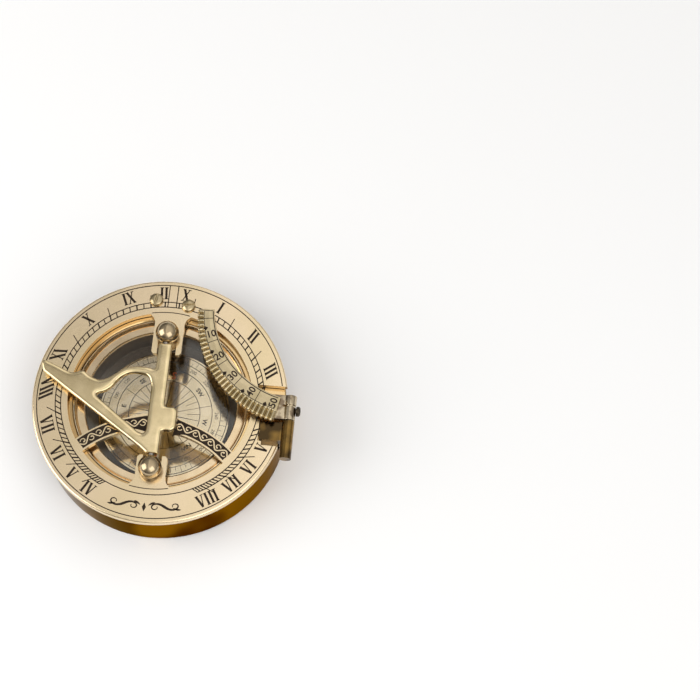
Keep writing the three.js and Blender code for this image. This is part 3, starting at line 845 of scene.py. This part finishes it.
# ---------------------------------------------------------------- stage
def camera():
    """High up in the south, with a long lens aimed east of the dial, so the dial stands at the left."""
    data = bpy.data.cameras.new("camera")
    data.lens = LENS
    data.sensor_width = SENSOR
    data.clip_start = 0.01
    obj = bpy.data.objects.new("camera", data)
    bpy.context.scene.collection.objects.link(obj)
    eye, target = Vector(EYE) * MM, Vector(TARGET) * MM
    look = (target - eye).to_track_quat("-Z", "Y")
    obj.rotation_mode = "QUATERNION"
    obj.location = eye
    obj.rotation_quaternion = look @ Matrix.Rotation(ROLL, 4, "Z").to_quaternion()
    bpy.context.scene.camera = obj


def floor():
    """A wide white disc, a hair below the case so that their faces don't share a plane."""
    bm = bmesh.new()
    bmesh.ops.create_circle(bm, cap_ends=True, segments=96, radius=FLOOR_R)
    mesh = bpy.data.meshes.new("floor")
    bm.to_mesh(mesh)
    bm.free()
    mat, tree, out = new_material("floor_white")
    shader = tree.nodes.new("ShaderNodeBsdfPrincipled")
    shader.inputs["Base Color"].default_value = (0.96, 0.96, 0.96, 1)
    shader.inputs["Roughness"].default_value = 0.9
    tree.links.new(shader.outputs["BSDF"], out.inputs["Surface"])
    mesh.materials.append(mat)
    obj = bpy.data.objects.new("floor", mesh)
    obj.location.z = FLOOR_Z * MM
    bpy.context.scene.collection.objects.link(obj)


def softbox(name, at, size, watts):
    """A square soft light aimed at the dial; at is in metres."""
    data = bpy.data.lights.new(name, "AREA")
    data.shape = "SQUARE"
    data.size = size
    data.energy = watts
    obj = bpy.data.objects.new(name, data)
    bpy.context.scene.collection.objects.link(obj)
    obj.location = at
    obj.rotation_mode = "QUATERNION"
    obj.rotation_quaternion = (-Vector(at)).to_track_quat("-Z", "Y")


# edges of the dark card, as slopes from overhead towards +X and +Y, and the half width of their blur
DARK_CARD = (("X", -0.24, -0.128), ("Y", 0.340, 0.46))
DARK_CARD_BLUR = 0.002


def dark_card(tree, split, shade):
    """A dark card hung in the tent a little north-west of overhead, which the polished parts mirror."""
    mask = None
    for axis, low, high in DARK_CARD:
        slope = tree.nodes.new("ShaderNodeMath")
        slope.operation = "DIVIDE"
        tree.links.new(split.outputs[axis], slope.inputs[0])
        tree.links.new(split.outputs["Z"], slope.inputs[1])
        for edge, sign in ((low, 1), (high, -1)):
            soft = tree.nodes.new("ShaderNodeMapRange")
            soft.inputs["From Min"].default_value = edge - DARK_CARD_BLUR * sign
            soft.inputs["From Max"].default_value = edge + DARK_CARD_BLUR * sign
            tree.links.new(slope.outputs["Value"], soft.inputs["Value"])
            if mask is None:
                mask = soft.outputs["Result"]
                continue
            both = tree.nodes.new("ShaderNodeMath")
            both.operation = "MULTIPLY"
            tree.links.new(mask, both.inputs[0])
            tree.links.new(soft.outputs["Result"], both.inputs[1])
            mask = both.outputs["Value"]
    mix = tree.nodes.new("ShaderNodeMix")
    mix.data_type = "RGBA"
    mix.inputs["B"].default_value = (0.13, 0.12, 0.12, 1)
    tree.links.new(mask, mix.inputs["Factor"])
    tree.links.new(shade, mix.inputs["A"])
    return mix.outputs["Result"]


def dimmer_west(tree, split, shade):
    """The tent darkens towards the west of overhead, so the flat plate brightens from west to east.

    It darkens a little towards the east too.
    """
    slope = tree.nodes.new("ShaderNodeMath")
    slope.operation = "DIVIDE"
    tree.links.new(split.outputs["X"], slope.inputs[0])
    tree.links.new(split.outputs["Z"], slope.inputs[1])
    place = tree.nodes.new("ShaderNodeMapRange")
    place.inputs["From Min"].default_value = -0.24
    place.inputs["From Max"].default_value = 0.30
    tree.links.new(slope.outputs["Value"], place.inputs["Value"])
    west, middle, east = (0.35, 0.35, 0.35), (1, 1, 1), (0.74, 0.74, 0.74)
    level = ramp(tree, place.outputs["Result"], [(0.0, west), (0.35, middle), (0.6, east)])
    dim = tree.nodes.new("ShaderNodeVectorMath")
    dim.operation = "MULTIPLY"
    tree.links.new(shade, dim.inputs[0])
    tree.links.new(level, dim.inputs[1])
    return dim.outputs["Vector"]


def studio():
    """A pale tent, bright overhead and darker round the horizon, a key light from the west and a fill."""
    world = bpy.data.worlds.new("studio")
    bpy.context.scene.world = world
    world.use_nodes = True
    tree = world.node_tree
    tree.nodes.clear()
    coords = tree.nodes.new("ShaderNodeTexCoord")
    split = tree.nodes.new("ShaderNodeSeparateXYZ")
    tree.links.new(coords.outputs["Generated"], split.inputs["Vector"])
    heights = [(0.0, (0.30, 0.29, 0.28)), (0.35, (0.42, 0.41, 0.40)),
               (0.75, (0.95, 0.94, 0.92)), (1.0, (1.0, 0.99, 0.97))]
    shade = ramp(tree, split.outputs["Z"], heights)
    shade = dark_card(tree, split, dimmer_west(tree, split, shade))
    light = tree.nodes.new("ShaderNodeBackground")
    light.inputs["Strength"].default_value = 1.35
    out = tree.nodes.new("ShaderNodeOutputWorld")
    tree.links.new(shade, light.inputs["Color"])
    tree.links.new(light.outputs["Background"], out.inputs["Surface"])
    softbox("key_west", (-0.75, -0.25, 0.55), 0.8, 5.5)
    softbox("fill_south_east", (0.5, -0.6, 0.7), 0.8, 3)
    bpy.context.scene.view_settings.view_transform = "Standard"
    bpy.context.scene.view_settings.look = "None"


camera()
floor()
studio()
finish_frame()
plate_engraving()
flourish()
arm_scrolls()
latitude_arc()
arc_marks()
ball_post("north")
ball_post("south")
dark_liner()
card_marks()
